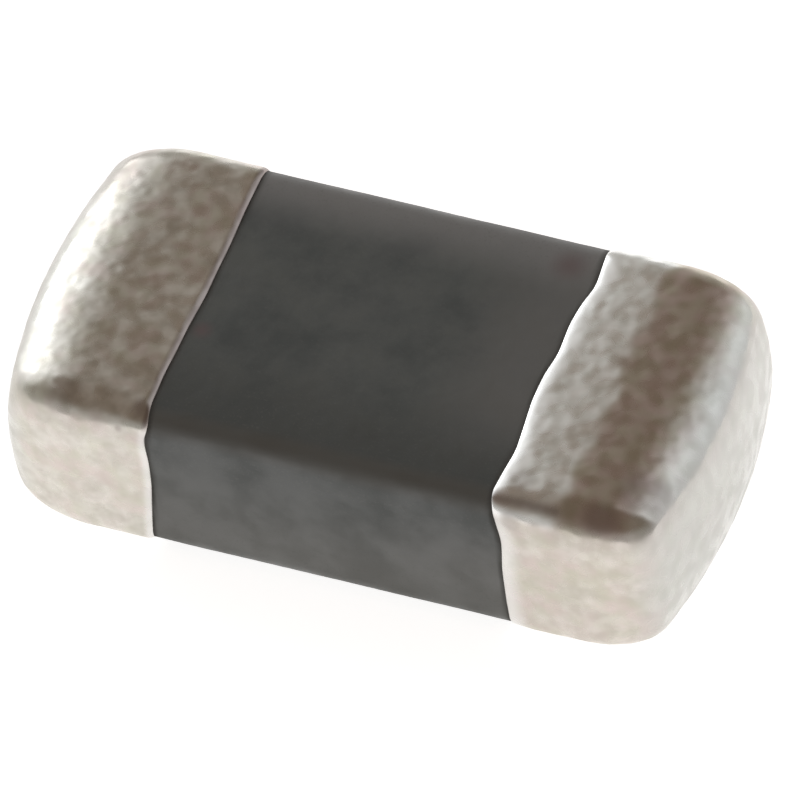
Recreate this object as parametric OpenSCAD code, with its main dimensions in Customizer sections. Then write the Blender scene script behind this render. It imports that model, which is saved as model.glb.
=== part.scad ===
// Surface-mount ferrite bead, multilayer chip type, 3.2 by 1.6 mm case.
// A sintered ferrite block holds a printed silver winding. Each end of the block
// is wrapped in fired silver, then nickel, then tin.
// Millimetres. X runs along the chip, Y across it and Z up. The origin is on the
// board, under the middle of the chip.

/* [Overall size] */
// Length over both tin caps
length = 3.2; // [3.0:0.05:3.4]
// Width over the tin
width = 1.6; // [1.4:0.05:1.8]
// Height over the tin
height = 0.9; // [0.75:0.05:1.3]

/* [Ferrite block] */
// Metal over each end face of the block, at its middle
end_thickness = 0.09; // [0.08:0.01:0.12]
// Metal over the long sides of the block
band_thickness = 0.025; // [0.02:0.005:0.04]
// Radius of the four long edges of the block
block_edge_r = 0.11; // [0.1:0.01:0.13]
// Radius of the edges round the block's end faces
block_end_r = 0.3; // [0.28:0.01:0.34]
// Depth of the worn flat on each corner of the block
corner_flat_depth = 0.18; // [0.16:0.01:0.2]
// How far each flat leans towards the end face, where 1 faces all three ways alike
corner_flat_lean = 0.4; // [0.3:0.05:0.5]

/* [Winding] */
// Silver thickness of one print
print_thickness = 0.02; // [0.01:0.005:0.03]
// Ferrite over the first and the last print
cover_thickness = 0.15; // [0.1:0.01:0.2]
// Width of the winding's trace
trace_width = 0.2; // [0.1:0.01:0.25]
// Ferrite between the winding and the block's long sides
side_margin = 0.2; // [0.15:0.01:0.3]
// Ferrite between the winding and the block's end faces
end_margin = 0.35; // [0.25:0.01:0.5]
// Radius of the winding's outer corners
winding_corner_r = 0.28; // [0.26:0.01:0.35]
// Width of the two lead-out strips
lead_width = 0.3; // [0.1:0.01:0.5]
// Diameter of the pad round each via
pad_d = 0.26; // [0.255:0.005:0.3]
// Diameter of each via
via_d = 0.12; // [0.06:0.01:0.2]

/* [Tin caps] */
// Length of the left cap's band, from the chip's end to its lip
left_band = 0.782; // [0.65:0.01:0.9]
// Length of the right cap's band
right_band = 0.82; // [0.65:0.01:0.9]
// How much further the right lip reaches in on top than underneath, to each side of its middle
right_lip_lean_up = 0.022; // [0:0.002:0.04]
// How much further the right lip reaches in behind than in front, to each side of its middle
right_lip_lean_across = 0.02; // [0:0.002:0.04]
// How far each lip draws back along the chip's long edges
lip_draw_back = 0.03; // [0:0.005:0.05]
// Height of the ripple along each lip
lip_ripple = 0.005; // [0:0.001:0.01]
// Width of the rounded slope at each lip
lip_slope = 0.035; // [0.02:0.005:0.06]
// Metal over the block's long edges, thinner than over its flat sides
edge_thickness = 0.0125; // [0.011:0.0005:0.018]
// Length over which each cap rounds down to its end
end_round_length = 0.38; // [0.34:0.01:0.42]
// Corner radius of the end face
end_corner_r = 0.05; // [0.03:0.01:0.08]
// Bulge of the end face across the chip
end_bulge_across = 0.078; // [0.06:0.002:0.08]
// Bulge of the end face up the chip
end_bulge_up = 0.035; // [0.02:0.002:0.04]
// Thickness of the nickel plating
nickel_thickness = 0.003; // [0.002:0.001:0.004]
// Thickness of the tin plating
tin_thickness = 0.004; // [0.003:0.001:0.005]

/* [Hidden] */
LEFT = -1;
RIGHT = 1;
COIL_LAYERS = 5;
// The prints, counted up from the lowest: a lead-out, the winding's half turns, a lead-out
PRINTS = COIL_LAYERS + 2;
VIAS = PRINTS - 1;
// A cut passes the face that it starts from by this much
clear = 0.05;
// Side of the cube that cuts a worn corner flat, wider than any such flat
flat_cutter = 1;
// Facets of a full circle
$fn = 64;

block_length = length - 2 * end_thickness;
block_width = width - 2 * band_thickness;
block_height = height - 2 * band_thickness;
winding_length = block_length - 2 * end_margin;
winding_width = block_width - 2 * side_margin;
print_pitch = (block_height - 2 * cover_thickness - print_thickness) / (PRINTS - 1);
first_print_z = band_thickness + cover_thickness;
// A square corner lies this far from the centre of the round, of radius 1, that would replace it
diagonal = sqrt(2);
// The caps' long edges are rounder than the block's, so their metal is thinner there.
// The round at each end falls by the same radius.
cap_edge_r = block_edge_r + (diagonal * band_thickness - edge_thickness) / (diagonal - 1);
// Vias stand at the two ends of the winding, on the trace's middle line
via_x = winding_length / 2 - trace_width / 2;

// How finely the caps' curved surface is divided
corner_steps = 4;
across_steps = 8;
up_steps = 4;
// Angles round the end round, from the band on. The last is short of 90, where its slope is that
// of the bulged end face.
round_angles = [0, 20, 40, 58, 72, 84];
round_end = round_angles[len(round_angles) - 1];
// The end face's rings, as shares of its outline
face_shares = [0.67, 0.33];
// The lip's slope, as shares of its width and of the height still to climb
lip_steps = [[0, 1], [0.12, 0.5], [0.45, 0.12], [1, 0]];
// The lip's root is sunk this far under the block's surface
lip_sink = 0.005;
// How closely the lip's draw-back keeps to the long edges
draw_back_power = 4;
// The ripple's waves: how many go round the chip, their share of its height, their turn, and how
// far they are turned opposite ways at the two ends
lip_waves = [[5, 1, 0, 40], [11, 0.6, 70, 0]];

// What is left outside a quarter circle in the corner of a profile, for cutting that corner round
module corner_waste(r) {
    difference() {
        square(r + clear);
        circle(r);
    }
}

// A rectangle about the origin with true round corners
module rounded_rectangle(a, b, r) {
    difference() {
        square([a, b], center = true);
        for (u = [0, 1], v = [0, 1])
            mirror([u, 0])
                mirror([0, v])
                    translate([a / 2 - r, b / 2 - r])
                        corner_waste(r);
    }
}

// The block's outer shape, with nothing inside: its end, top and side profiles meet in it
module block_envelope() {
    translate([0, 0, height / 2])
        difference() {
            intersection() {
                rotate([90, 0, 90])
                    linear_extrude(block_length, center = true)
                        rounded_rectangle(block_width, block_height, block_edge_r);
                linear_extrude(block_height + 2 * clear, center = true)
                    rounded_rectangle(block_length, block_width, block_end_r);
                rotate([90, 0, 0])
                    linear_extrude(block_width + 2 * clear, center = true)
                        rounded_rectangle(block_length, block_height, block_end_r);
            }
            for (u = [0, 1], v = [0, 1], w = [0, 1])
                mirror([u, 0, 0])
                    mirror([0, v, 0])
                        mirror([0, 0, w])
                            corner_flat();
        }
}

// What the worn flat takes off one corner of the block
module corner_flat() {
    translate([block_length / 2, block_width / 2, block_height / 2])
        rotate([0, 0, atan2(1, corner_flat_lean)])
            rotate([0, atan2(norm([corner_flat_lean, 1]), 1), 0])
                translate([-flat_cutter / 2, -flat_cutter / 2, -corner_flat_depth])
                    cube(flat_cutter);
}

module ferrite_body() {
    color([0.27, 0.27, 0.26])
        difference() {
            block_envelope();
            conductor();
        }
}

// Everything silver inside the block
module conductor() {
    lead_out(LEFT);
    lead_out(RIGHT);
    for (k = [1 : COIL_LAYERS])
        coil_layer(k);
    for (k = [1 : VIAS])
        coil_via(k);
}

// Places a flat print at its level
module at_print(level) {
    translate([0, 0, first_print_z + level * print_pitch])
        children();
}

// The strip that runs from the winding's end to the end face of the block, and is cut off there
module lead_out(side) {
    strip = block_length / 2 - via_x + clear;
    color("silver")
        intersection() {
            block_envelope();
            at_print(side == LEFT ? 0 : PRINTS - 1)
                linear_extrude(print_thickness) {
                    translate([side * (via_x + strip / 2), 0])
                        square([strip, lead_width], center = true);
                    translate([side * via_x, 0])
                        circle(d = pad_d);
                }
        }
}

// Half a turn of the winding: odd layers pass behind, even layers pass in front
module coil_layer(k) {
    behind = k % 2 == 1;
    color("silver")
        at_print(k)
            linear_extrude(print_thickness) {
                intersection() {
                    winding_loop();
                    translate([-winding_length / 2, behind ? 0 : -winding_width / 2])
                        square([winding_length, winding_width / 2]);
                }
                for (side = [LEFT, RIGHT])
                    translate([side * via_x, 0])
                        circle(d = pad_d);
            }
}

// One full turn of the trace, seen from above
module winding_loop() {
    difference() {
        rounded_rectangle(winding_length, winding_width, winding_corner_r);
        rounded_rectangle(
            winding_length - 2 * trace_width,
            winding_width - 2 * trace_width,
            winding_corner_r - trace_width
        );
    }
}

// The silver plug between two prints: odd ones stand at the left end, even ones at the right
module coil_via(k) {
    side = k % 2 == 1 ? LEFT : RIGHT;
    color("silver")
        at_print(k - 1)
            translate([side * via_x, 0, print_thickness])
                cylinder(h = print_pitch - print_thickness, d = via_d);
}

// A quarter circle of points about a corner's centre
function corner_arc(centre, r, start) = [
    for (k = [0 : corner_steps])
        let (angle = start + 90 * k / corner_steps)
            centre + r * [cos(angle), sin(angle)]
];

// The points between two corners, without the corners' own
function straight(from, to, steps) = [
    for (k = [1 : steps - 1]) from + (to - from) * k / steps
];

// Points round a rounded rectangle of half width a and half height b
function outline(a, b, r) =
    let (u = a - r, v = b - r)
    concat(
        corner_arc([u, v], r, 0),
        straight([u, b], [-u, b], across_steps),
        corner_arc([-u, v], r, 90),
        straight([-a, v], [-a, -v], up_steps),
        corner_arc([-u, -v], r, 180),
        straight([-u, -b], [u, -b], across_steps),
        corner_arc([u, -v], r, 270),
        straight([a, -v], [a, v], up_steps)
    );

// How far a lip stands from its mean place at a point of the outline, given as shares of its half sizes
function lip_offset(side, share, turn) =
    let (
        lean = side == RIGHT ? 1 : 0,
        waves = [for (wave = lip_waves) wave[1] * sin(wave[0] * turn + wave[2] + side * wave[3])]
    )
    lip_draw_back * pow(share[0] * share[1], draw_back_power)
    - lean * (right_lip_lean_up * share[1] + right_lip_lean_across * share[0])
    + lip_ripple * (waves[0] + waves[1]);

// The bulge's fall from the middle of the end face to a point given in shares
function bulge_fall(share) =
    end_bulge_across * pow(share[0], 2) + end_bulge_up * pow(share[1], 2);

// The cap's rings of points from lip to end, on the surface that lies "inset" under the tin
function cap_rings(side, inset) =
    let (
        a = width / 2 - inset,
        b = height / 2 - inset,
        edge_r = cap_edge_r - inset,
        drop = cap_edge_r - inset,
        face_drop = drop * (1 - cos(round_end)),
        face_r = end_corner_r + (edge_r - end_corner_r) * cos(round_end),
        reach = (end_round_length - inset) / sin(round_end),
        band = side == LEFT ? left_band : right_band,
        lip_x = length / 2 - band + inset,
        round_x = length / 2 - end_round_length,
        climb = band_thickness + lip_sink - inset,
        face = outline(a - face_drop, b - face_drop, face_r)
    )
    concat(
        [for (step = lip_steps)
            let (sink = climb * step[1], ring = outline(a - sink, b - sink, edge_r - sink))
            [for (j = [0 : len(ring) - 1])
                let (share = [ring[j][0] / (a - sink), ring[j][1] / (b - sink)])
                [lip_x + lip_slope * step[0] + lip_offset(side, share, 360 * j / len(ring)), ring[j]]]],
        [for (angle = round_angles)
            let (
                fall = drop * (1 - cos(angle)),
                r = end_corner_r + (edge_r - end_corner_r) * cos(angle),
                ring = outline(a - fall, b - fall, r)
            )
            [for (p = ring)
                let (share = [p[0] / (a - fall), p[1] / (b - fall)])
                [round_x + reach * sin(angle) - bulge_fall(share), p]]],
        [for (part = face_shares)
            [for (p = face)
                let (share = part * [p[0] / (a - face_drop), p[1] / (b - face_drop)])
                [round_x + end_round_length - inset - bulge_fall(share), part * p]]]
    );

// A closed solid inside the tin's surface at a depth of "inset", from the lip to the end face
module cap_form(side, inset) {
    rings = cap_rings(side, inset);
    n = len(rings[0]);
    last = len(rings) - 1;
    pole_x = length / 2 - inset;
    root_x = rings[0][0][0];
    points = concat(
        [for (ring = rings) for (p = ring) [side * p[0], p[1][0], p[1][1]]],
        [[side * root_x, 0, 0], [side * pole_x, 0, 0]]
    );
    root = len(points) - 2;
    pole = len(points) - 1;
    faces = concat(
        [for (i = [0 : last - 1], j = [0 : n - 1])
            let (k = (j + 1) % n)
            each [[i * n + j, (i + 1) * n + j, i * n + k], [(i + 1) * n + j, (i + 1) * n + k, i * n + k]]],
        [for (j = [0 : n - 1]) [root, j, (j + 1) % n]],
        [for (j = [0 : n - 1]) [pole, last * n + (j + 1) % n, last * n + j]]
    );
    translate([0, 0, height / 2])
        polyhedron(points, side == RIGHT ? faces : [for (f = faces) [f[0], f[2], f[1]]]);
}

// The metal between two depths under the tin's surface, round one end of the block
module cap_layer(side, top, bottom) {
    difference() {
        cap_form(side, top);
        cap_form(side, bottom);
        block_envelope();
    }
}

module tin_plating(side) {
    color([0.78, 0.76, 0.73])
        cap_layer(side, 0, tin_thickness);
}

module nickel_barrier(side) {
    color([0.62, 0.6, 0.56])
        cap_layer(side, tin_thickness, tin_thickness + nickel_thickness);
}

module silver_base(side) {
    color("silver")
        difference() {
            cap_form(side, tin_thickness + nickel_thickness);
            block_envelope();
        }
}

ferrite_body();
lead_out(LEFT);  // left_lead_out
lead_out(RIGHT);  // right_lead_out
for (k = [1 : COIL_LAYERS])
    coil_layer(k);
for (k = [1 : VIAS])
    coil_via(k);
silver_base(LEFT);  // left_silver_base
nickel_barrier(LEFT);  // left_nickel_barrier
tin_plating(LEFT);  // left_tin_plating
silver_base(RIGHT);  // right_silver_base
nickel_barrier(RIGHT);  // right_nickel_barrier
tin_plating(RIGHT);  // right_tin_plating
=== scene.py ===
"""Looks of the surface-mount ferrite bead: tin end caps, ferrite block, light and camera.

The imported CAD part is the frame. The end caps' metal layers and the ferrite block are
rebuilt here as fine meshes on the CAD's own surfaces, with the relief of plated tin and
of sintered ferrite. Sizes of the chip are in millimetres and repeat those of the CAD
source. A mesh becomes metres when it is made.
"""

from math import cos, pi, radians, sin, tau

import bmesh
import bpy
import numpy as np
from mathutils import Matrix, Vector


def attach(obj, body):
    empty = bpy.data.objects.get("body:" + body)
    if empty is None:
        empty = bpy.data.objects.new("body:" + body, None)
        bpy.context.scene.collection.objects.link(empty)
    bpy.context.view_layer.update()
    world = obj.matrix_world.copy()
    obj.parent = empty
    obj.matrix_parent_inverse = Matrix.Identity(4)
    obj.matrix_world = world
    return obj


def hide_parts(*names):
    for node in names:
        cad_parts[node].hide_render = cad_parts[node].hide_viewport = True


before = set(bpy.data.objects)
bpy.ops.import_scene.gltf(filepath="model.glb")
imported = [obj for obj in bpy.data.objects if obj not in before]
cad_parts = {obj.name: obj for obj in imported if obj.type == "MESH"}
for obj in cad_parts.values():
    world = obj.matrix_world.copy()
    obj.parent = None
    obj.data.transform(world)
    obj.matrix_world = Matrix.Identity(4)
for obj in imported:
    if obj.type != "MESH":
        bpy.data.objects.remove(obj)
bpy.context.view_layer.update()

MM = 0.001
LEFT = -1
RIGHT = 1
SIDE_NAMES = {LEFT: "left", RIGHT: "right"}

# Sizes of the CAD source
LENGTH = 3.2
WIDTH = 1.6
HEIGHT = 0.9
END_THICKNESS = 0.09
BAND_THICKNESS = 0.025
BLOCK_EDGE_R = 0.11
BLOCK_END_R = 0.3
CORNER_FLAT_DEPTH = 0.18
CORNER_FLAT_LEAN = 0.4
EDGE_THICKNESS = 0.0125
END_ROUND_LENGTH = 0.38
END_CORNER_R = 0.05
ROUND_END = radians(84)
END_BULGE_ACROSS = 0.078
END_BULGE_UP = 0.035
TIN_THICKNESS = 0.004
NICKEL_THICKNESS = 0.003
BLOCK_LENGTH = LENGTH - 2 * END_THICKNESS
BLOCK_WIDTH = WIDTH - 2 * BAND_THICKNESS
BLOCK_HEIGHT = HEIGHT - 2 * BAND_THICKNESS
DIAGONAL = 2 ** 0.5
# How much a long edge's radius shrinks for the edge to stay put while the flat sides move in by 1
EDGE_HOLD = DIAGONAL / (DIAGONAL - 1)
CAP_EDGE_R = BLOCK_EDGE_R + (DIAGONAL * BAND_THICKNESS - EDGE_THICKNESS) / (DIAGONAL - 1)

# Distances between neighbouring mesh points: on the tin, on the ferrite, on buried metal
TIN_GRID = 0.0098
FERRITE_GRID = 0.016
BURIED_GRID = 0.022
# A lip's slope has this many rows of points, and one more for each spacing in this length
LIP_ROWS = 6
LIP_ROWS_LENGTH = 0.06
# How much longer the rounding of an end is than its length along the chip
END_ROUND_STRETCH = 1.2
# An outline's points for each time that its dip line is smoothed
DIP_SMOOTHING = 30
# Edges of the ferrite that turn by more than this stay sharp
SHARP_ANGLE = radians(35)
# Factor on the place of the lead-outs' ends that takes their cutter past the block's end faces
LEAD_OVERRUN = 1.1
# A length that counts as none
TINY = 1e-9

# How far the tin's and nickel's lips dip under the block's surface
LIP_SINK = 0.003
# Width of the rounded slope at each lip
LIP_SLOPES = {LEFT: 0.035, RIGHT: 0.085}
# How much lower each band's flat sides are at its lip than at its crown
BAND_CROWNS = {LEFT: 0.01, RIGHT: 0.016}
# Exponent of the lip's rounded profile, where 2 is an ellipse
LIP_ROUNDNESS = 1.8
# The dip line of each cap: the place round the chip in degrees, where 0 is behind, 90 on
# top, 180 in front and 270 underneath, and the lip's distance from the chip's middle
DIP_LINES = {
    LEFT: [
        (0, 0.815), (30, 0.812), (60, 0.813), (72, 0.806), (84, 0.807), (92, 0.804),
        (104, 0.814), (114, 0.815), (121, 0.819), (131, 0.81), (139, 0.8), (151, 0.823),
        (163, 0.811), (180, 0.811), (204, 0.827), (225, 0.842), (250, 0.82), (270, 0.815),
        (300, 0.823), (330, 0.818),
    ],
    RIGHT: [
        (0, 0.775), (25, 0.78), (51, 0.775), (59, 0.793), (65, 0.768), (72, 0.759),
        (83, 0.77), (92, 0.752), (102, 0.753), (110, 0.768), (119, 0.784), (126, 0.772),
        (132, 0.767), (139, 0.781), (150, 0.795), (160, 0.814), (170, 0.809), (180, 0.802),
        (204, 0.806), (225, 0.82), (250, 0.79), (270, 0.796), (300, 0.785), (330, 0.79),
    ],
}

# Relief: how much its depth varies, its waves' length, how much that differs, and their number
TIN_UNEVENNESS = (0.0006, 0.28, 0.45, 60)
TIN_GRAIN_RELIEF = (0.00034, 0.078, 0.45, 300)
FERRITE_UNEVENNESS = (0.0006, 0.5, 0.4, 60)
FERRITE_PORES = (0.0002, 0.07, 0.4, 200)
TONE_BORDER_WAVES = (0.015, 0.2, 0.4, 40)
# Mean depths of the relief, and the greatest depth
TIN_MEAN_DEPTH = 0.0015
FERRITE_MEAN_DEPTH = 0.0014
DEEPEST = 0.003
# The rows of points, counted from the lip, between which the tin's relief comes in
TIN_RELIEF_START = (2, 12)
# Distances from the chip's middle between which the ferrite's relief ends under the caps
FERRITE_RELIEF_END = (0.87, 0.95)
# Where the random draws start
TIN_RELIEF_SEED = 40
TIN_TONE_SEED = 90
FERRITE_RELIEF_SEED = 70

# Depths below the chip's top between which the looks of its sides turn into those of its top
TOP_DEPTHS = (0.12, 0.06)
# How strong the painted highlight along the lips is, on the chip's top and on its sides
TOP_LIP_HIGHLIGHT = {LEFT: 0, RIGHT: 1}
SIDE_LIP_HIGHLIGHT = 0.6
# Shares of the lip's slope between which the painted highlight ends
LIP_HIGHLIGHT_END = (0.2, 1.3)
# Dark spots on the tin, mostly painted shade along the front top edges and at the right front
# corner: place, radius and strength
TIN_DARK_SPOTS = [
    ((-1.21, -0.72, 0.87), 0.11, 0.25),
    ((-0.84, -0.7, 0.87), 0.07, 0.5),
    ((-0.932, -0.8, 0.8), 0.035, 0.5),
    ((-1.45, 0.6, 0.82), 0.3, 0.3),
    ((1.27, -0.72, 0.87), 0.12, 0.4),
    ((1.41, -0.52, 0.867), 0.17, 0.5),
    ((0.87, -0.62, 0.88), 0.09, 0.25),
    ((0.87, -0.79, 0.79), 0.08, 0.4),
]
# The share of a spot's radius within which it has its full strength
SPOT_CORE = 0.3
# The darker line along the right cap's front top edge: its ends, half width and strength
DARK_EDGE_LINE = ((0.78, -0.733, 0.868), (1.06, -0.733, 0.868), 0.045, 0.55)
# How dark the painted shade is on the sides just under the top, and the depths below the top
# between which it comes in
SHOULDER_SHADE = 0.22
SHOULDER_DEPTHS = (0.25, 0.1)
# How dark the painted shade on the left lip's top is, and the shares of the lip's slope between
# which it ends
LEFT_LIP_SHADE = 0.8
LEFT_LIP_SHADE_END = (0.3, 1)
# How brown the plating is on the chip's sides, a warm tint that is partly painted shade, and on
# its top, where it is a painted dark reflection
SIDE_BROWNING_AND_SHADE = {LEFT: 0.25, RIGHT: 0.4}
TOP_DARK_REFLECTION = {LEFT: 0.06, RIGHT: 0.8}
# Distances from the chip's middle between which the right cap's top turns from its painted sheen
# to the painted dark reflection, and between which that dark reflection ends on both caps
SHEEN_TO_DARK = (1.04, 1.13)
DARK_REFLECTION_END = (1.34, 1.46)
# The painted shade line beside each lip on the ferrite, where it meets the cap: its width, and the
# distances under the cap between which it starts
LIP_SHADE_WIDTH = 0.026
LIP_SHADE_START = (-0.03, -0.01)
# Reddish spots on the ferrite: place and radius
FERRITE_SPOTS = [
    ((0.646, 0.59, 0.875), 0.12),
    ((-0.755, -0.217, 0.875), 0.07),
]


# Points and surfaces

def arc(centre, r, start, steps):
    """Points of a quarter circle, its two ends included."""
    turn = radians(start) + np.linspace(0, pi / 2, steps + 1)
    return np.column_stack([centre[0] + r * np.cos(turn), centre[1] + r * np.sin(turn)])


def straight(begin, end, steps):
    """Points between two corners, without the corners' own."""
    shares = np.arange(1, steps)[:, None] / steps
    return np.array(begin) + (np.array(end) - np.array(begin)) * shares


def outline(a, b, r, steps):
    """Points round a rounded rectangle of half width a and half height b."""
    u, v = a - r, b - r
    corner, across, up = steps
    return np.concatenate([
        arc((u, v), r, 0, corner),
        straight((u, b), (-u, b), across),
        arc((-u, v), r, 90, corner),
        straight((-a, v), (-a, -v), up),
        arc((-u, -v), r, 180, corner),
        straight((-u, -b), (u, -b), across),
        arc((u, -v), r, 270, corner),
        straight((a, -v), (a, v), up),
    ])


def outline_steps(spacing):
    """How many steps the corners, the width and the height of an outline take."""
    corner = CAP_EDGE_R * pi / 2
    across = WIDTH - 2 * CAP_EDGE_R
    up = HEIGHT - 2 * CAP_EDGE_R
    return [round(size / spacing) for size in (corner, across, up)]


def dip_line(side, ring):
    """Distance of a lip from the chip's middle at each point of an outline."""
    shares = ring / ring.max(axis=0)
    turn = np.degrees(np.arctan2(shares[:, 1], shares[:, 0]))
    places, distances = zip(*DIP_LINES[side])
    line = np.interp(turn, places, distances, period=360)
    for _ in range(len(line) // DIP_SMOOTHING):
        line = (np.roll(line, 1) + 2 * line + np.roll(line, -1)) / 4
    return line


def end_bulge(shares):
    """How far the end face falls back at points given as shares of its half sizes."""
    return END_BULGE_ACROSS * shares[:, 0] ** 2 + END_BULGE_UP * shares[:, 1] ** 2


def cap_surface(side, inset, sink, spacing):
    """Rings of points on a cap's surface at a depth, from the lip's root to the end face."""
    a, b = WIDTH / 2 - inset, HEIGHT / 2 - inset
    edge_r = CAP_EDGE_R - inset
    reach = (END_ROUND_LENGTH - inset) / sin(ROUND_END)
    round_x = LENGTH / 2 - END_ROUND_LENGTH
    crown = BAND_CROWNS[side]
    climb = BAND_THICKNESS + sink - inset - crown
    lip_slope = LIP_SLOPES[side]
    steps = outline_steps(spacing)
    band = outline(a, b, edge_r, steps)
    lip_x = dip_line(side, band) + inset
    rings = []

    band_end = round_x - end_bulge(band / [a, b])
    lip_share = lip_slope / (band_end - lip_x).mean()
    for angle in np.linspace(0, pi / 2, LIP_ROWS + round(LIP_ROWS_LENGTH / spacing)):
        along = 1 - cos(angle)
        rise = (1 - (1 - along) ** LIP_ROUNDNESS) ** (1 / LIP_ROUNDNESS)
        fall = climb * (1 - rise)
        droop = crown * (1 - lip_share * along) ** 2
        r = edge_r - EDGE_HOLD * droop - fall
        ring = outline(a - droop - fall, b - droop - fall, r, steps)
        rings.append(np.column_stack([lip_x + lip_slope * along, ring]))

    band_start = lip_x + lip_slope
    rows = round((band_end - band_start).mean() / spacing)
    for share in np.linspace(0, 1, rows + 1)[1:]:
        droop = crown * ((1 - lip_share) * (1 - share)) ** 2
        ring = outline(a - droop, b - droop, edge_r - EDGE_HOLD * droop, steps)
        rings.append(np.column_stack([band_start + (band_end - band_start) * share, ring]))

    rows = round(END_ROUND_LENGTH * END_ROUND_STRETCH / spacing)
    for angle in np.linspace(0, ROUND_END, rows + 1)[1:]:
        fall = edge_r * (1 - cos(angle))
        r = END_CORNER_R + (edge_r - END_CORNER_R) * cos(angle)
        ring = outline(a - fall, b - fall, r, steps)
        shares = ring / [a - fall, b - fall]
        rings.append(np.column_stack([round_x + reach * sin(angle) - end_bulge(shares), ring]))

    rows = round((HEIGHT / 2 - fall) / spacing)
    face_x = LENGTH / 2 - inset
    for share in np.linspace(1, 0, rows + 1)[1:-1]:
        rings.append(np.column_stack([face_x - end_bulge(shares * share), ring * share]))
    return keep_above_block(np.array(rings), sink)


def keep_above_block(rings, sink):
    """Lifts points that lie deeper than "sink" under the block's long sides and edges."""
    inner = np.array([BLOCK_WIDTH / 2 - BLOCK_EDGE_R, BLOCK_HEIGHT / 2 - BLOCK_EDGE_R])
    straight_part = rings[:, :, :1] < BLOCK_LENGTH / 2 - BLOCK_END_R
    yz = rings[:, :, 1:]
    past = np.maximum(np.abs(yz) - inner, 0) * np.sign(yz)
    length = np.linalg.norm(past, axis=2, keepdims=True)
    short = np.maximum(BLOCK_EDGE_R - sink - length, 0)
    lift = np.where(straight_part & (length > 0), short / np.maximum(length, TINY), 0)
    rings[:, :, 1:] = yz + past * lift
    return rings


def wear_corners(points):
    """Brings points that lie beyond a worn corner of the block back to its flat."""
    lean = np.array([CORNER_FLAT_LEAN, 1, 1])
    lean /= np.linalg.norm(lean)
    corner = np.array([BLOCK_LENGTH, BLOCK_WIDTH, BLOCK_HEIGHT]) / 2
    beyond = (np.abs(points) - corner) @ lean + CORNER_FLAT_DEPTH
    return points - np.where(points < 0, -lean, lean) * np.maximum(beyond, 0)[:, None]


def block_outline(spacing):
    """Points round the block's straight part."""
    return outline(BLOCK_WIDTH / 2, BLOCK_HEIGHT / 2, BLOCK_EDGE_R, outline_steps(spacing))


def block_section(x, base):
    """Points of the block's outline at distances x from the chip's middle."""
    over = np.clip(x - (BLOCK_LENGTH / 2 - BLOCK_END_R), 0, BLOCK_END_R)
    back = BLOCK_END_R - np.sqrt(BLOCK_END_R ** 2 - over ** 2)
    half_width = BLOCK_WIDTH / 2 - back
    half_height = BLOCK_HEIGHT / 2 - back
    y = np.clip(base[:, 0], -half_width, half_width)
    z = np.clip(base[:, 1], -half_height, half_height)
    return wear_corners(np.column_stack([x, y, z]))


def block_surface(first_x, spacing):
    """Rings of points on the block from distances first_x to the middle of its end face."""
    base = block_outline(spacing)
    round_x = BLOCK_LENGTH / 2 - BLOCK_END_R
    rows = round((round_x - first_x.mean()) / spacing)
    rings = [
        block_section(first_x + (round_x - first_x) * row / rows, base)
        for row in range(rows + 1)
    ]
    rows = round(BLOCK_END_R * pi / 2 / spacing)
    for angle in np.linspace(0, pi / 2, rows + 1)[1:]:
        x = np.full(len(base), round_x + BLOCK_END_R * sin(angle))
        rings.append(block_section(x, base))
    edge = rings[-1]
    rows = round(BLOCK_HEIGHT / 2 / spacing)
    for share in np.linspace(1, 0, rows + 1)[1:-1]:
        rings.append(edge * [1, share, share])
    return np.array(rings)


def placed(points, side):
    """Points given from the chip's centre towards one end, brought to their place."""
    return points * [side, 1, 1] + [0, 0, HEIGHT / 2]


# Relief

def relief(points, waves, seed):
    """Random smooth relief at the points, made of many waves, with a mean of 0."""
    depth, wavelength, spread, count = waves
    rng = np.random.default_rng(seed)
    headings = rng.normal(size=(count, 3))
    headings /= np.linalg.norm(headings, axis=1, keepdims=True)
    lengths = wavelength * rng.uniform(1 - spread, 1 + spread, count)
    phases = rng.uniform(0, tau, count)
    total = np.zeros(points.shape[:-1])
    for heading, length, phase in zip(headings, lengths, phases):
        total += np.sin(points @ (tau / length * heading) + phase)
    return depth * (total * (2 / count) ** 0.5)


def smooth_step(value, low, high):
    """0 on low's side, 1 on high's side, and smooth between."""
    t = np.clip((value - low) / (high - low), 0, 1)
    return t * t * (3 - 2 * t)


def normals_of(rings):
    """Unit normals of a surface of rings, pointing outwards."""
    along = np.gradient(rings, axis=0)
    across = np.roll(rings, -1, axis=1) - np.roll(rings, 1, axis=1)
    normals = np.cross(across, along)
    return normals / np.maximum(np.linalg.norm(normals, axis=2, keepdims=True), TINY)


def dented(rings, depth):
    """The surface with each point moved inwards by its depth."""
    return rings - normals_of(rings) * depth[:, :, None]


def tin_dents(rings, seed):
    """Depths of the plating's relief: broad unevenness and close-set crystal grains."""
    broad = relief(rings, TIN_UNEVENNESS, seed)
    grains = relief(rings, TIN_GRAIN_RELIEF, seed + 1)
    depth = np.clip(broad + grains + TIN_MEAN_DEPTH, 0, DEEPEST)
    rows = np.arange(len(rings))
    return depth * smooth_step(rows, *TIN_RELIEF_START)[:, None]


def ferrite_dents(rings, seed):
    """Depths of the block's relief, where it isn't under the caps."""
    broad = relief(rings, FERRITE_UNEVENNESS, seed)
    pores = relief(rings, FERRITE_PORES, seed + 1)
    depth = np.clip(broad + pores + FERRITE_MEAN_DEPTH, 0, DEEPEST)
    return depth * (1 - smooth_step(np.abs(rings[:, :, 0]), *FERRITE_RELIEF_END))


# Painted highlights, sheen, reflections and shade, with tarnish and tints

def past_lip(side, rings):
    """Distance of each point from the lip, as a share of the lip's slope."""
    return (rings[:, :, 0] - rings[0, :, 0]) / LIP_SLOPES[side]


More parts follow.
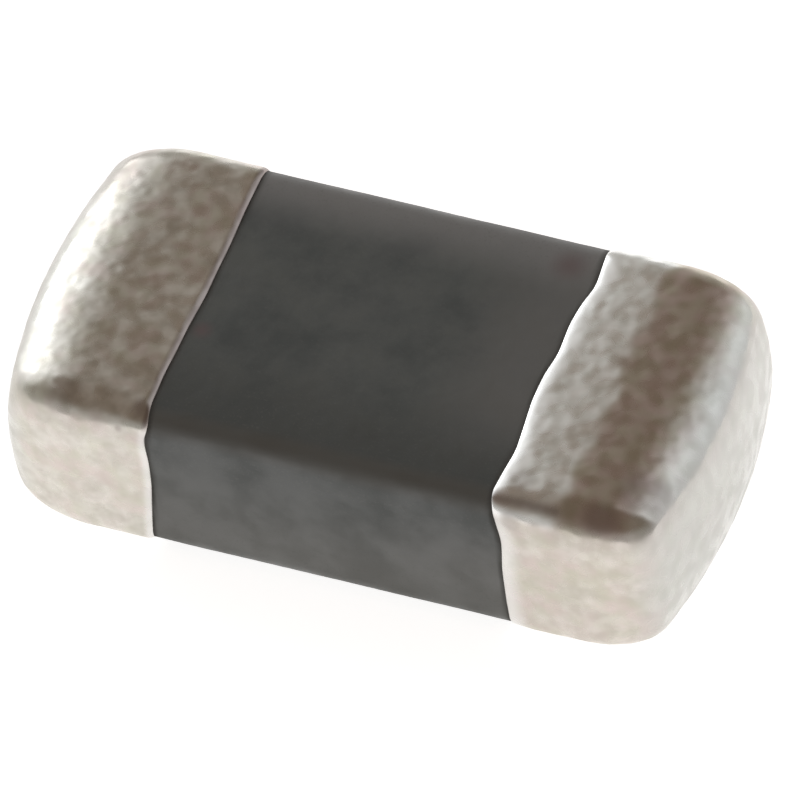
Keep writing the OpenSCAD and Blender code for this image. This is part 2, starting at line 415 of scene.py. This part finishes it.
def below_top(heights, depths):
    """0 on the low side of two depths below the chip's top, 1 on the high side, smooth between."""
    low, high = depths
    return smooth_step(heights, HEIGHT / 2 - low, HEIGHT / 2 - high)


def on_top(rings):
    """1 on the chip's top and 0 on its sides."""
    return below_top(rings[:, :, 2], TOP_DEPTHS)


def lip_painted_highlight(side, rings):
    """How strong the painted highlight along the lip is at each point. The left lip's top gets
    none.
    """
    top = on_top(rings)
    painted_highlight = TOP_LIP_HIGHLIGHT[side] * top + SIDE_LIP_HIGHLIGHT * (1 - top)
    return painted_highlight * (1 - smooth_step(past_lip(side, rings), *LIP_HIGHLIGHT_END))


def distance_to_line(points, begin, end):
    """Distance of each point from a straight line between two places."""
    line = np.array(end) - begin
    share = np.clip((points - begin) @ line / (line @ line), 0, 1)
    return np.linalg.norm(points - begin - share[:, :, None] * line, axis=2)


def tin_shade_and_tarnish(side, rings):
    """How dark the tin is at each point: painted shade on its shoulders, on the left lip's top and
    in most spots, and a darker line along the right cap's front top edge.
    """
    points = placed(rings, side)
    # Painted shade on the sides just under the top
    shade_and_tarnish = SHOULDER_SHADE * below_top(rings[:, :, 2], SHOULDER_DEPTHS) * (1 - on_top(rings))
    # Dark spots, mostly painted shade
    for place, radius, strength in TIN_DARK_SPOTS:
        distance = np.linalg.norm(points - place, axis=2)
        spot = 1 - smooth_step(distance, SPOT_CORE * radius, radius)
        shade_and_tarnish = np.maximum(shade_and_tarnish, strength * spot)
    # Painted shade on the left lip's top, and a darker line along the right cap's front top edge
    if side == LEFT:
        lip = 1 - smooth_step(past_lip(side, rings), *LEFT_LIP_SHADE_END)
        shade_and_tarnish = np.maximum(shade_and_tarnish, LEFT_LIP_SHADE * lip * on_top(rings))
    else:
        begin, end, width, strength = DARK_EDGE_LINE
        line = 1 - smooth_step(distance_to_line(points, begin, end), 0, width)
        shade_and_tarnish = np.maximum(shade_and_tarnish, strength * line)
    return shade_and_tarnish


def tin_tint_and_reflection(side, rings, seed):
    """How brown the tin is at each point, a tint on the sides that is partly painted shade and a
    painted dark reflection on the top, and where the right cap's top has a painted sheen, with
    wavy borders between.
    """
    top = on_top(rings)
    along = rings[:, :, 0] + relief(rings, TONE_BORDER_WAVES, seed)
    painted_sheen = np.zeros(rings.shape[:2])
    # Painted sheen on the right cap's top near its lip
    if side == RIGHT:
        painted_sheen = top * (1 - smooth_step(along, *SHEEN_TO_DARK))
    # Painted dark reflection on the top, and a brown tint that is partly painted shade on the
    # sides
    brown_and_dark_reflection = TOP_DARK_REFLECTION[side] * (top - painted_sheen) * (1 - smooth_step(along, *DARK_REFLECTION_END))
    return brown_and_dark_reflection + SIDE_BROWNING_AND_SHADE[side] * (1 - top), painted_sheen


def lip_shade_line(rings):
    """How strongly painted shade darkens the ferrite beside the lips at each point."""
    base = rings[len(rings) // 2, :, 1:]
    lip_shade = np.zeros(rings.shape[:2])
    for side in (LEFT, RIGHT):
        short = dip_line(side, base) - side * rings[:, :, 0]
        lip_shade += smooth_step(short, *LIP_SHADE_START) - smooth_step(short, 0, LIP_SHADE_WIDTH)
    return lip_shade


# Meshes

def bridge(first, second, count):
    """Quads between two rings of points, given by the numbers of their first points."""
    j = np.arange(count)
    k = (j + 1) % count
    return np.column_stack([first + j, first + k, second + k, second + j]).tolist()


def fan(ring, pole, count):
    """Triangles between a ring of points and one point."""
    j = np.arange(count)
    k = (j + 1) % count
    return np.column_stack([ring + j, ring + k, np.full(count, pole)]).tolist()


def new_piece(name, points, faces):
    """A smooth mesh piece from points in millimetres."""
    mesh = bpy.data.meshes.new(name)
    mesh.from_pydata((points * MM).tolist(), [], faces)
    mesh.shade_smooth()
    piece = bpy.data.objects.new(name, mesh)
    bpy.context.scene.collection.objects.link(piece)
    return piece


def shell(name, side, outer, inner):
    """A closed skin between two surfaces that both run from a lip to the end's middle."""
    count = outer.shape[1]
    inner_start = len(outer) * count
    outer_pole = inner_start + len(inner) * count
    inner_pole = outer_pole + 1
    poles = np.array([outer[-1].mean(axis=0), inner[-1].mean(axis=0)])
    points = np.concatenate([outer.reshape(-1, 3), inner.reshape(-1, 3), poles])
    faces = bridge(inner_start, 0, count)
    for row in range(len(outer) - 1):
        faces += bridge(row * count, (row + 1) * count, count)
    for row in range(len(inner) - 1):
        start = inner_start + row * count
        faces += bridge(start + count, start, count)
    faces += fan(inner_start - count, outer_pole, count)
    faces += [face[::-1] for face in fan(outer_pole - count, inner_pole, count)]
    if side == LEFT:
        faces = [face[::-1] for face in faces]
    return new_piece(name, placed(points, side), faces)


def block_skin(name, rings):
    """The block's closed skin, from rings that run from one end face to the other."""
    count = rings.shape[1]
    left_pole = len(rings) * count
    poles = np.array([rings[0].mean(axis=0), rings[-1].mean(axis=0)])
    points = np.concatenate([rings.reshape(-1, 3), poles])
    faces = []
    for row in range(len(rings) - 1):
        faces += bridge(row * count, (row + 1) * count, count)
    faces += fan(left_pole - count, left_pole + 1, count)
    faces += [face[::-1] for face in fan(0, left_pole, count)]
    return new_piece(name, placed(points, RIGHT), faces)


def mark(piece, name, values):
    """Stores a value for each of the piece's first points, and 0 for the rest."""
    rest = len(piece.data.vertices) - values.size
    layer = piece.data.attributes.new(name, "FLOAT", "POINT")
    layer.data.foreach_set("value", np.pad(values.ravel(), (0, rest)))


def conductor_parts():
    """The CAD objects of the winding and its lead-outs."""
    return [
        part for node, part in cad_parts.items()
        if node.startswith("coil_") or node.endswith("_lead_out")
    ]


def conductor_room():
    """The winding and its lead-outs as one cutter, with the lead-outs run past the end faces."""
    room = bmesh.new()
    for part in conductor_parts():
        room.from_mesh(part.data)
    bmesh.ops.remove_doubles(room, verts=room.verts, dist=TINY)
    lead_end = (BLOCK_LENGTH / 2 - BLOCK_END_R) * MM
    for vertex in room.verts:
        if abs(vertex.co.x) > lead_end:
            vertex.co.x *= LEAD_OVERRUN
    mesh = bpy.data.meshes.new("conductor_room")
    room.to_mesh(mesh)
    room.free()
    return bpy.data.objects.new("conductor_room", mesh)


# Pieces

def metal_layers(side):
    """The metal round one end: each layer's piece and the CAD node that it replaces."""
    name = SIDE_NAMES[side]
    nickel_top = TIN_THICKNESS
    silver_top = TIN_THICKNESS + NICKEL_THICKNESS
    outside = cap_surface(side, 0, LIP_SINK, TIN_GRID)
    # The tin's hidden inside has every second row of points
    tin = shell(
        name + "_tin_skin", side,
        dented(outside, tin_dents(outside, TIN_RELIEF_SEED + side)),
        cap_surface(side, nickel_top, LIP_SINK, TIN_GRID)[::2],
    )
    # Painted highlight along the lip
    mark(tin, "painted_highlight", lip_painted_highlight(side, outside))
    # Painted shade and tarnish
    mark(tin, "shade_and_tarnish", tin_shade_and_tarnish(side, outside))
    # Brown tint with painted dark reflection, and painted sheen
    brown_and_dark_reflection, painted_sheen = tin_tint_and_reflection(side, outside, TIN_TONE_SEED + side)
    mark(tin, "brown_and_dark_reflection", brown_and_dark_reflection)
    mark(tin, "painted_sheen", painted_sheen)
    nickel = shell(
        name + "_nickel_skin", side,
        cap_surface(side, nickel_top, LIP_SINK, BURIED_GRID),
        cap_surface(side, silver_top, LIP_SINK, BURIED_GRID),
    )
    silver_outside = cap_surface(side, silver_top, 0, BURIED_GRID)
    silver = shell(
        name + "_silver_skin", side,
        silver_outside,
        block_surface(silver_outside[0, :, 0], BURIED_GRID)[1:],
    )
    return {
        "tin": (tin, name + "_tin_plating"),
        "nickel": (nickel, name + "_nickel_barrier"),
        "silver": (silver, name + "_silver_base"),
    }


def ferrite_block():
    """The sintered block with its outer relief and the room for its winding."""
    middle = np.zeros(len(block_outline(FERRITE_GRID)))
    half = block_surface(middle, FERRITE_GRID)
    rings = np.concatenate([(half * [-1, 1, 1])[:0:-1], half])
    dents = ferrite_dents(rings, FERRITE_RELIEF_SEED)
    skin = block_skin("ferrite_solid", dented(rings, dents))
    # Painted shade beside each lip
    mark(skin, "lip_shade", lip_shade_line(rings))
    cutter = conductor_room()
    bpy.context.scene.collection.objects.link(cutter)
    cut = skin.modifiers.new("room", "BOOLEAN")
    cut.operation = "DIFFERENCE"
    cut.solver = "MANIFOLD"
    cut.object = cutter
    bpy.context.view_layer.update()
    evaluated = skin.evaluated_get(bpy.context.evaluated_depsgraph_get())
    mesh = bpy.data.meshes.new_from_object(evaluated)
    skin.modifiers.clear()
    skin.data = mesh
    mesh.set_sharp_from_angle(angle=SHARP_ANGLE)
    bpy.data.objects.remove(cutter)
    return skin


# Node trees

class Nodes:
    """A few short calls that build a material's or a world's node tree."""

    def __init__(self, tree):
        self.tree = tree
        tree.nodes.clear()

    def fill(self, socket, value):
        """Gives a socket its value, or the link that brings it."""
        if isinstance(value, bpy.types.NodeSocket):
            self.tree.links.new(value, socket)
        else:
            socket.default_value = value

    def add(self, kind, inputs=None, **settings):
        """A node with its settings, and values or links for its inputs."""
        node = self.tree.nodes.new(kind)
        for name, value in settings.items():
            setattr(node, name, value)
        for name, value in (inputs or {}).items():
            self.fill(node.inputs[name], value)
        return node

    def place(self):
        """The place of a point on the chip, in metres."""
        return self.add("ShaderNodeTexCoord").outputs["Object"]

    def axes(self, vector):
        """A vector's three parts, by the names X, Y and Z."""
        return self.add("ShaderNodeSeparateXYZ", {"Vector": vector}).outputs

    def noise(self, place, size, detail, roughness=0.5):
        """Noise whose cells are "size" millimetres across."""
        return self.add("ShaderNodeTexNoise", {
            "Vector": place,
            "Scale": 1 / (size * MM),
            "Detail": detail,
            "Roughness": roughness,
        }).outputs["Fac"]

    def scaled(self, value, low, high, to_low=0.0, to_high=1.0):
        """A value brought from one range to another, and held there."""
        inputs = {
            "Value": value,
            "From Min": low,
            "From Max": high,
            "To Min": to_low,
            "To Max": to_high,
        }
        node = self.add("ShaderNodeMapRange", inputs, interpolation_type="SMOOTHSTEP")
        return node.outputs["Result"]

    def eased(self, share, strength):
        """A share that sets in softly and ends at a strength."""
        return self.scaled(share, 0, 1, 0, strength)

    def between(self, length, low, high, strength=1.0):
        """How far a length in metres has come from one length in millimetres to another."""
        return self.scaled(length, low * MM, high * MM, 0, strength)

    def mottle(self, place, size, low, high):
        """A share that follows noise, from 0 at its low values to 1 at its high ones."""
        return self.scaled(self.noise(place, size, 2), low, high)

    def blended(self, share, first, second):
        """A colour between two others."""
        node = self.add("ShaderNodeMix", data_type="RGBA")
        self.fill(node.inputs[0], share)
        self.fill(node.inputs[6], first)
        self.fill(node.inputs[7], second)
        return node.outputs[2]

    def mark(self, name):
        """A value stored with the mesh."""
        return self.add("ShaderNodeAttribute", attribute_name=name).outputs["Fac"]

    def math(self, operation, first, second=0.0):
        """One step of arithmetic."""
        return self.add("ShaderNodeMath", {0: first, 1: second}, operation=operation).outputs[0]

    def distance(self, first, second):
        """Distance between two places."""
        inputs = {0: first, 1: second}
        return self.add("ShaderNodeVectorMath", inputs, operation="DISTANCE").outputs["Value"]

    def flattened(self, place):
        """A place with its part along the chip left out."""
        inputs = {0: place, 1: (0, 1, 1)}
        return self.add("ShaderNodeVectorMath", inputs, operation="MULTIPLY").outputs[0]

    def bumps(self, height, strength, depth):
        """The surface's direction under fine bumps of a depth in millimetres."""
        inputs = {"Height": height, "Strength": strength, "Distance": depth * MM}
        return self.add("ShaderNodeBump", inputs).outputs["Normal"]

    def finish(self, shader):
        """Links a shader to the material's output."""
        self.add("ShaderNodeOutputMaterial", {"Surface": shader.outputs[0]})


def new_material(name):
    """An empty material and its node builder."""
    material = bpy.data.materials.new(name)
    material.use_nodes = True
    return material, Nodes(material.node_tree)


def paint(piece, material):
    """Gives the whole piece one material."""
    piece.data.materials.clear()
    piece.data.materials.append(material)


# Metals

# Noise values between which a mottle runs: nearly all of them, most of them and the middle ones
WIDE = (0.25, 0.75)
BROAD = (0.3, 0.7)
MIDDLE = (0.35, 0.65)

# Mottles of the tin: the size of their cells, and the noise values between which they run
TIN_GRAINS = (0.075, *WIDE)
TIN_PATCHES = (0.17, 0.35, 0.68)
TIN_TINTS = (0.11, 0.34, 0.66)
# Colours between which the mottles run: on worn and tinted tin, on the painted sheen and on the
# brown tint with painted dark reflection
WORN_TIN = ((0.79, 0.775, 0.725, 1), (0.6, 0.585, 0.53, 1))
TINTED_TIN = ((0.69, 0.61, 0.575, 1), (0.63, 0.62, 0.525, 1))
SHEEN_TIN = ((0.99, 1, 0.985, 1), (0.87, 0.89, 0.865, 1))
BROWN_DARK_TIN = ((0.56, 0.455, 0.41, 1), (0.5, 0.445, 0.355, 1))
# Colours of the cool grey ends, of the painted highlight along the lips and of the painted shade
# and tarnish
COOL_TIN = (0.585, 0.6, 0.58, 1)
HIGHLIGHT_TIN = (0.93, 0.93, 0.92, 1)
SHADE_AND_TARNISH_TIN = (0.26, 0.21, 0.205, 1)
# How far the patches and the painted sheen cover what is under them
PATCH_STRENGTH = 0.65
SHEEN_STRENGTH = 0.95
# Distances from the chip's middle between which the ends turn a cooler grey, and how far they do
COOL_START = (1.35, 1.55)
COOL_STRENGTH = 0.7
# The size of the cells in which the tin's gloss changes, and the roughness between which it does
TIN_GLOSS_SIZE = 0.08
TIN_ROUGHNESS = (0.21, 0.38)
# The tin's finest bumps: their size, strength and depth
TIN_BUMP_SIZE = 0.02
TIN_BUMPS = (0.15, 0.0005)

# Buried metals: their light and dark colours and their least roughness
NICKEL_LOOK = ((0.66, 0.63, 0.58, 1), (0.58, 0.55, 0.5, 1), 0.25)
SILVER_LOOK = ((0.9, 0.89, 0.86, 1), (0.74, 0.72, 0.69, 1), 0.35)
# How much rougher they get, the size of their grains, and their bumps' strength and depth
METAL_ROUGHNESS_SPAN = 0.15
METAL_GRAIN_SIZE = 0.02
METAL_BUMPS = (0.4, 0.0005)


def metal_shader(nodes, colour, rough, normal):
    """A bare metal surface."""
    return nodes.add("ShaderNodeBsdfPrincipled", {
        "Base Color": colour,
        "Metallic": 1.0,
        "Roughness": rough,
        "Normal": normal,
    })


def tin_material():
    """Matte tin plating: mottled grey with warmer, duller patches between its grains, under a
    painted sheen, painted dark reflections, painted highlights on the lips and painted shade.
    """
    material, nodes = new_material("plated_tin")
    place = nodes.place()
    grains = nodes.mottle(place, *TIN_GRAINS)
    patches = nodes.mottle(place, *TIN_PATCHES)
    tint = nodes.mottle(place, *TIN_TINTS)
    pale = nodes.blended(grains, *WORN_TIN)
    hue = nodes.blended(tint, *TINTED_TIN)
    surface_colour = nodes.blended(nodes.eased(patches, PATCH_STRENGTH), pale, hue)
    # Painted sheen near the right lip
    painted_sheen = nodes.blended(grains, *SHEEN_TIN)
    surface_colour = nodes.blended(nodes.eased(nodes.mark("painted_sheen"), SHEEN_STRENGTH), surface_colour, painted_sheen)
    # Brown tint, partly painted shade, and painted dark reflection
    brown_dark = nodes.blended(tint, *BROWN_DARK_TIN)
    surface_colour = nodes.blended(nodes.mark("brown_and_dark_reflection"), surface_colour, brown_dark)
    apart = nodes.math("ABSOLUTE", nodes.axes(place)["X"])
    surface_colour = nodes.blended(nodes.between(apart, *COOL_START, COOL_STRENGTH), surface_colour, COOL_TIN)
    # Painted highlight along the lips
    bright = nodes.blended(nodes.mark("painted_highlight"), surface_colour, HIGHLIGHT_TIN)
    # Painted shade and tarnish
    colour = nodes.blended(nodes.mark("shade_and_tarnish"), bright, SHADE_AND_TARNISH_TIN)
    rough = nodes.scaled(nodes.noise(place, TIN_GLOSS_SIZE, 0), *WIDE, *TIN_ROUGHNESS)
    normal = nodes.bumps(nodes.noise(place, TIN_BUMP_SIZE, 1), *TIN_BUMPS)
    nodes.finish(metal_shader(nodes, colour, rough, normal))
    return material


def buried_metal_material(name, light, dark, roughness):
    """Buried metal: fired silver or nickel plating, with fine grain."""
    material, nodes = new_material(name)
    grains = nodes.noise(nodes.place(), METAL_GRAIN_SIZE, 3)
    colour = nodes.blended(nodes.scaled(grains, *MIDDLE), light, dark)
    rough = nodes.scaled(grains, *BROAD, roughness, roughness + METAL_ROUGHNESS_SPAN)
    normal = nodes.bumps(grains, *METAL_BUMPS)
    nodes.finish(metal_shader(nodes, colour, rough, normal))
    return material


# Ferrite

# The size of its clouds and of its grains
CLOUD_SIZE = 0.3
CLOUD_ROUGHNESS = 0.6
FERRITE_GRAIN_SIZE = 0.012
# Colours between which the clouds run
FERRITE_CLOUDS = ((0.068, 0.08, 0.077, 1), (0.024, 0.034, 0.033, 1))
# Distances to the right of the chip's middle between which the colour changes, and its colour
RIGHT_PART = (0.2, 0.7)
RIGHT_COLOUR = (0.1, 0.102, 0.098, 1)
# Distances from the top's front edge between which the painted shade along it ends, and its colour
FRONT_SHADE_END = (0.1, 0.6)
FRONT_SHADE_COLOUR = (0.016, 0.023, 0.02, 1)
# Distances from that edge between which the painted highlight on it comes in, and its colour
EDGE_HIGHLIGHT_START = (0.12, 0.05)
EDGE_HIGHLIGHT_COLOUR = (0.085, 0.087, 0.08, 1)
# Distances from that edge and heights between which the top's back gets paler as painted light,
# and its colour
BACK_LIGHT_START = (1.15, 1.5)
TOP_START = (0.78, 0.87)
BACK_LIGHT_COLOUR = (0.2, 0.2, 0.2, 1)
# Heights between which the sides get paler lower down as painted light, and their colour
SIDE_LIGHT_START = (0.78, 0.1)
SIDE_LIGHT_COLOUR = (0.155, 0.159, 0.15, 1)
# Colour and strength of the reddish spots, and colour of the painted shade beside the lips
REDDISH_COLOUR = (0.1, 0.05, 0.052, 1)
REDDISH_STRENGTH = 0.7
LIP_SHADE_COLOUR = (0.03, 0.028, 0.022, 1)
# Noise values between which single grains show paler, how far they do, and their colour
PALE_GRAINS = (0.55, 0.8)
PALE_GRAIN_STRENGTH = 0.4
PALE_GRAIN_COLOUR = (0.09, 0.09, 0.086, 1)
# Roughness between which the clouds run, and how much the line beside the lips adds
FERRITE_ROUGHNESS = (0.42, 0.64)
LIP_SHADE_ROUGHNESS = 0.3
# Strength and depth of the bumps, and the index of refraction
FERRITE_BUMPS = (0.5, 0.0006)
FERRITE_IOR = 1.89


def ferrite_material():
    """Sintered ferrite: dark matte grey with faint clouds, painted shade along the top's front
    edge and beside each lip, a painted highlight on that edge, and painted light on the top's back
    and lower on the sides.
    """
    material, nodes = new_material("sintered_ferrite")
    place = nodes.place()
    clouds = nodes.noise(place, CLOUD_SIZE, 4, CLOUD_ROUGHNESS)
    grains = nodes.noise(place, FERRITE_GRAIN_SIZE, 2)
    axes = nodes.axes(place)
    edge = (0, -BLOCK_WIDTH / 2 * MM, (HEIGHT - BAND_THICKNESS) * MM)
    from_edge = nodes.distance(nodes.flattened(place), edge)
    dark = nodes.blended(nodes.scaled(clouds, *BROAD), *FERRITE_CLOUDS)
    dark = nodes.blended(nodes.between(axes["X"], *RIGHT_PART), dark, RIGHT_COLOUR)
    # Painted shade along the top's front edge
    dark = nodes.blended(nodes.between(from_edge, *FRONT_SHADE_END), FRONT_SHADE_COLOUR, dark)
    # Painted highlight on that edge
    dark = nodes.blended(nodes.between(from_edge, *EDGE_HIGHLIGHT_START), dark, EDGE_HIGHLIGHT_COLOUR)
    # Painted light on the top's back
    back = nodes.between(from_edge, *BACK_LIGHT_START)
    back = nodes.math("MULTIPLY", back, nodes.between(axes["Z"], *TOP_START))
    dark = nodes.blended(back, dark, BACK_LIGHT_COLOUR)
    # Painted light on the sides, paler lower down
    dark = nodes.blended(nodes.between(axes["Z"], *SIDE_LIGHT_START), dark, SIDE_LIGHT_COLOUR)
    for spot, radius in FERRITE_SPOTS:
        away = nodes.distance(place, [value * MM for value in spot])
        share = nodes.between(away, radius, 0, REDDISH_STRENGTH)
        dark = nodes.blended(share, dark, REDDISH_COLOUR)
    # Painted shade beside each lip
    lip_shade = nodes.mark("lip_shade")
    dark = nodes.blended(lip_shade, dark, LIP_SHADE_COLOUR)
    pale = nodes.scaled(grains, *PALE_GRAINS, 0, PALE_GRAIN_STRENGTH)
    rough = nodes.scaled(clouds, *BROAD, *FERRITE_ROUGHNESS)
    rougher = nodes.math("MULTIPLY", lip_shade, LIP_SHADE_ROUGHNESS)
    nodes.finish(nodes.add("ShaderNodeBsdfPrincipled", {
        "Base Color": nodes.blended(pale, dark, PALE_GRAIN_COLOUR),
        "Metallic": 0.0,
        "IOR": FERRITE_IOR,
        "Roughness": nodes.math("ADD", rough, rougher),
        "Normal": nodes.bumps(grains, *FERRITE_BUMPS),
    }))
    return material


# Stage, light and camera

# The floor's half size in metres, its colour and how strongly it glows for the camera
FLOOR_HALF = 0.25
FLOOR_COLOUR = (0.8, 0.8, 0.8, 1)
FLOOR_GLOW = 0.84
WHITE = (1, 1, 1, 1)

# The room that the metal mirrors: the colour of its ceiling
CEILING_COLOUR = (0.208, 0.167, 0.135, 1)
# Fades that the bright left window and the dim strip beside it have in common
LEFT_WINDOW_PLACE = [("Y", -0.35, 0.1), ("Z", 0.85, 0.6)]
# The room's lights, each laid over those before: its colour and its fades. A fade is an axis
# of the direction, where the fade begins and ends along it, and its strengths there if they
# aren't 0 and 1.
ROOM_LIGHTS = {
    "back of the ceiling": ((0.235, 0.194, 0.161, 1), [("Y", 0.1, 0.45)]),
    "horizon": ((0.5, 0.49, 0.47, 1), [("Z", 0.65, 0.1)]),
    "right window": ((0.94, 0.96, 0.98, 1), [("Y", 0.1, 0.45), ("X", 0.0, 0.6)]),
    "dim strip": ((0.46, 0.445, 0.415, 1), [*LEFT_WINDOW_PLACE, ("X", -0.24, -0.42)]),
    "left window": ((1.3, 1.32, 1.34, 1), [
        *LEFT_WINDOW_PLACE,
        ("X", -0.425, -0.59),
        ("Y", 0.64, 0.57, 0.45, 1),
        ("Z", 0.25, 0.42, 0.65, 1),
    ]),
}

# The lamp: its place and size in metres, and its power in watts
KEY_PLACE = (-0.16, 0.11, 0.06)
KEY_SIZE = 0.08
KEY_WATTS = 0.035

# The camera: where it looks from and its tilt, its distance in metres, its lens and its sensor
AZIMUTH = radians(25.67)
ELEVATION = radians(49.26)
ROLL = radians(-6.76)
CAMERA_DISTANCE = 0.12
FOCAL_LENGTH = 1249.4
SENSOR_WIDTH = 36
# The nearest and farthest things that it sees, in metres
CLIP_START = 0.01
CLIP_END = 10
# Where the picture's centre lies from the chip's centre, to the picture's right and down
PIXELS_PER_MM = 231.367
AIM_RIGHT = 9.694 / PIXELS_PER_MM
AIM_DOWN = 4.554 / PIXELS_PER_MM


def pale_floor():
    """A plain white floor that stays white in the picture and keeps a soft shadow."""
    corners = [
        (-FLOOR_HALF, -FLOOR_HALF, 0),
        (FLOOR_HALF, -FLOOR_HALF, 0),
        (FLOOR_HALF, FLOOR_HALF, 0),
        (-FLOOR_HALF, FLOOR_HALF, 0),
    ]
    mesh = bpy.data.meshes.new("floor")
    mesh.from_pydata(corners, [], [(0, 1, 2, 3)])
    floor = bpy.data.objects.new("floor", mesh)
    bpy.context.scene.collection.objects.link(floor)
    material, nodes = new_material("floor_white")
    path = nodes.add("ShaderNodeLightPath").outputs
    seen = nodes.math("MAXIMUM", path["Is Camera Ray"], path["Is Glossy Ray"])
    seen = nodes.math("MAXIMUM", seen, path["Is Transmission Ray"])
    glow = nodes.add("ShaderNodeEmission", {
        "Color": WHITE,
        "Strength": nodes.math("MULTIPLY", seen, FLOOR_GLOW),
    })
    matte = nodes.add("ShaderNodeBsdfDiffuse", {"Color": FLOOR_COLOUR})
    both = nodes.add("ShaderNodeAddShader")
    nodes.tree.links.new(matte.outputs[0], both.inputs[0])
    nodes.tree.links.new(glow.outputs[0], both.inputs[1])
    nodes.finish(both)
    paint(floor, material)


def light_share(nodes, axes, fades):
    """How strongly a light of the room shows in a direction: its fades, multiplied."""
    share = 1.0
    for axis, *limits in fades:
        share = nodes.math("MULTIPLY", share, nodes.scaled(axes[axis], *limits))
    return share


def studio_world():
    """A dim room with its lights, white where the camera sees it directly."""
    world = bpy.data.worlds.new("studio")
    bpy.context.scene.world = world
    world.use_nodes = True
    nodes = Nodes(world.node_tree)
    axes = nodes.axes(nodes.add("ShaderNodeTexCoord").outputs["Generated"])
    sky = CEILING_COLOUR
    for colour, fades in ROOM_LIGHTS.values():
        sky = nodes.blended(light_share(nodes, axes, fades), sky, colour)
    camera_ray = nodes.add("ShaderNodeLightPath").outputs["Is Camera Ray"]
    background = nodes.add("ShaderNodeBackground", {
        "Color": nodes.blended(camera_ray, sky, WHITE),
        "Strength": 1.0,
    })
    nodes.add("ShaderNodeOutputWorld", {"Surface": background.outputs[0]})


def area_lamp(name, place, size, watts):
    """A square soft lamp aimed at the chip."""
    lamp = bpy.data.lights.new(name, "AREA")
    lamp.shape = "SQUARE"
    lamp.size = size
    lamp.energy = watts
    holder = bpy.data.objects.new(name, lamp)
    holder.location = place
    holder.rotation_mode = "QUATERNION"
    holder.rotation_quaternion = Vector(place).to_track_quat("Z", "Y")
    bpy.context.scene.collection.objects.link(holder)


def photo_camera():
    """The camera at the photograph's angle, tilt and distance."""
    back = Vector((
        sin(AZIMUTH) * cos(ELEVATION),
        -cos(AZIMUTH) * cos(ELEVATION),
        sin(ELEVATION),
    ))
    level_right = Vector((cos(AZIMUTH), sin(AZIMUTH), 0))
    level_up = back.cross(level_right)
    right = level_right * cos(ROLL) + level_up * sin(ROLL)
    up = level_up * cos(ROLL) - level_right * sin(ROLL)
    aim = Vector((0, 0, HEIGHT / 2)) * MM + (right * AIM_RIGHT - up * AIM_DOWN) * MM
    data = bpy.data.cameras.new("photo_camera")
    data.lens = FOCAL_LENGTH
    data.sensor_width = SENSOR_WIDTH
    data.clip_start = CLIP_START
    data.clip_end = CLIP_END
    camera = bpy.data.objects.new("photo_camera", data)
    turn = Matrix((right, up, back)).transposed().to_4x4()
    camera.matrix_world = Matrix.Translation(aim + back * CAMERA_DISTANCE) @ turn
    bpy.context.scene.collection.objects.link(camera)
    bpy.context.scene.camera = camera


# The scene

materials = {
    "tin": tin_material(),
    "nickel": buried_metal_material("nickel_plating", *NICKEL_LOOK),
    "silver": buried_metal_material("fired_silver", *SILVER_LOOK),
    "ferrite": ferrite_material(),
}

for side in (LEFT, RIGHT):
    for slot, (piece, node) in metal_layers(side).items():
        paint(piece, materials[slot])
        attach(piece, "root")
        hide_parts(node)

block = ferrite_block()
paint(block, materials["ferrite"])
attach(block, "root")
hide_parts("ferrite_body")

for part in conductor_parts():
    for part_slot in part.material_slots:
        part_slot.material = materials["silver"]

pale_floor()
studio_world()
area_lamp("key", KEY_PLACE, KEY_SIZE, KEY_WATTS)
photo_camera()
bpy.context.scene.view_settings.view_transform = "Standard"
